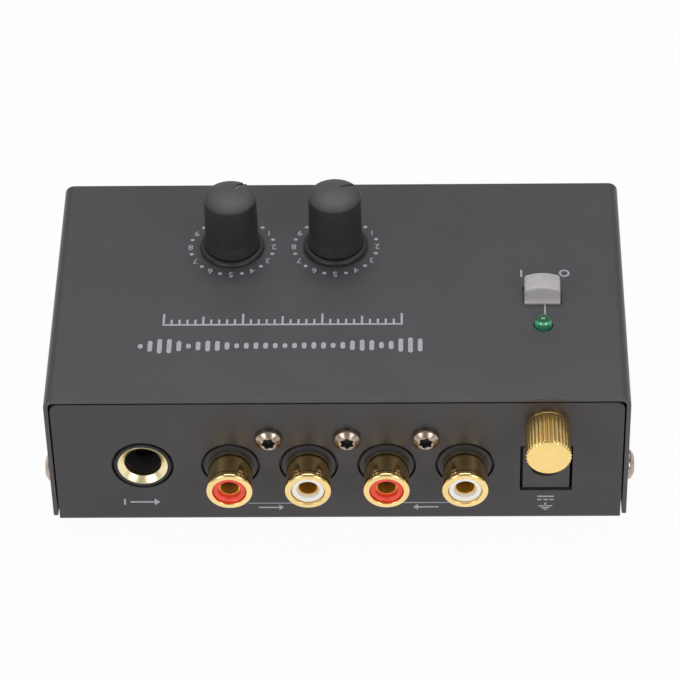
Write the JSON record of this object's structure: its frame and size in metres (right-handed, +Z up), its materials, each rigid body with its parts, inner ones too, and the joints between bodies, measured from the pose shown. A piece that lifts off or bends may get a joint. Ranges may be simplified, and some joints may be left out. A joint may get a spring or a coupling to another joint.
{
  "type": "phono preamp",
  "caption": "Phono preamp in a folded metal case with two turning knobs, a sprung push button, phono sockets, a large jack, a DC socket and a ground post.",
  "frame": {"origin": "middle of the overall box in X and Y, on the surface that the rubber feet stand on", "axes": "+Z up through the knobs, -Y out of the connector panel, +X along the panel towards the DC socket"},
  "size_m": [0.107, 0.0676, 0.0456],
  "materials": {
    "case_paint": "satin dark grey powder paint on folded sheet",
    "tray_paint": "satin dark grey powder paint on folded sheet",
    "foot_rubber": "matt black rubber",
    "screw_nickel": "bright nickel plate",
    "gold_plate": "bright gold plate on turned brass",
    "board_green": "green solder mask on glass epoxy",
    "socket_black": "moulded black plastic",
    "insulator_red": "glossy red plastic",
    "insulator_white": "glossy white plastic",
    "contact_tin": "tinned spring metal",
    "can_steel": "zinc plated pressed steel",
    "wafer_brown": "phenolic laminate",
    "shaft_aluminium": "turned aluminium",
    "rotor_black": "moulded black plastic",
    "knob_gloss": "glossy black plastic",
    "grip_rubber": "soft-touch black",
    "pointer_white": "white plastic",
    "spring_steel": "drawn steel wire",
    "button_grey": "light grey moulded plastic",
    "lens_green": "clear green epoxy",
    "chip_black": "black epoxy",
    "sleeve_blue": "printed shrink sleeve over aluminium",
    "film_red": "red epoxy box",
    "resistor_beige": "beige lacquer"
  },
  "bodies": {
    "case": {"top_cover": "case_paint", "chassis_tray": "tray_paint", "rubber_feet": "foot_rubber", "cover_screws": "screw_nickel", "circuit_board": "board_green", "board_standoffs": "screw_nickel", "board_screws": "screw_nickel", "phono_socket_housing": "socket_black", "phono_barrels": "gold_plate", "red_insulators": "insulator_red", "white_insulators": "insulator_white", "phono_contacts": "gold_plate", "phono_socket_screws": "screw_nickel", "jack_housing": "socket_black", "jack_ferrule": "gold_plate", "jack_contacts": "contact_tin", "dc_socket_housing": "socket_black", "dc_centre_pin": "contact_tin", "dc_leaf_contact": "contact_tin", "ground_stud": "gold_plate", "ground_inner_nut": "gold_plate", "ground_tag": "contact_tin", "ground_lead": "contact_tin", "pot_cans": "can_steel", "pot_wafers": "wafer_brown", "pot_terminals": "contact_tin", "switch_housing": "rotor_black", "switch_lid": "insulator_white", "switch_terminals": "contact_tin", "switch_spring": "spring_steel", "led_lens": "lens_green", "led_leads": "contact_tin", "led_spacer": "rotor_black", "opamp_sockets": "rotor_black", "opamps": "chip_black", "electrolytic_capacitors": "sleeve_blue", "film_capacitors": "film_red", "resistors": "resistor_beige", "voltage_regulator": "chip_black"},
    "left_knob": {"left_shaft": "shaft_aluminium", "left_rotor": "rotor_black", "left_knob_core": "knob_gloss", "left_grip": "grip_rubber", "left_pointer": "pointer_white"},
    "right_knob": {"right_shaft": "shaft_aluminium", "right_rotor": "rotor_black", "right_knob_core": "knob_gloss", "right_grip": "grip_rubber", "right_pointer": "pointer_white"},
    "power_key": {"power_button": "button_grey", "switch_plunger": "insulator_white"},
    "washer": {"ground_washer": "gold_plate"},
    "thumb_nut": {"ground_thumb_nut": "gold_plate"}
  },
  "joints": [
    {"name": "left_knob_turn", "type": "hinge", "parent": "case", "child": "left_knob", "pos_m": [-0.0198, 0.01595, 0.032], "axis": [0, 0, -1], "range_deg": [0, 300]},
    {"name": "right_knob_turn", "type": "hinge", "parent": "case", "child": "right_knob", "pos_m": [-0.0007, 0.01595, 0.032], "axis": [0, 0, -1], "range_deg": [0, 300]},
    {"name": "power_button_press", "type": "slide", "parent": "case", "child": "power_key", "axis": [0, 0, -1], "range_m": [0, 0.0025], "stiffness_N_per_m": 400, "springref_m": -0.0015, "deforming": ["switch_spring"]},
    {"name": "ground_nut_travel", "type": "slide", "parent": "case", "child": "washer", "axis": [0, -1, 0], "range_m": [0, 0.0035]},
    {"name": "ground_nut_turn", "type": "hinge", "parent": "washer", "child": "thumb_nut", "pos_m": [0.0373, -0.02925, 0.02565], "axis": [0, -1, 0], "range_deg": [0, 1800]}
  ],
  "couplings": [
    {"joint": "ground_nut_turn", "follows": "ground_nut_travel", "rad_per_m": 8976}
  ]
}
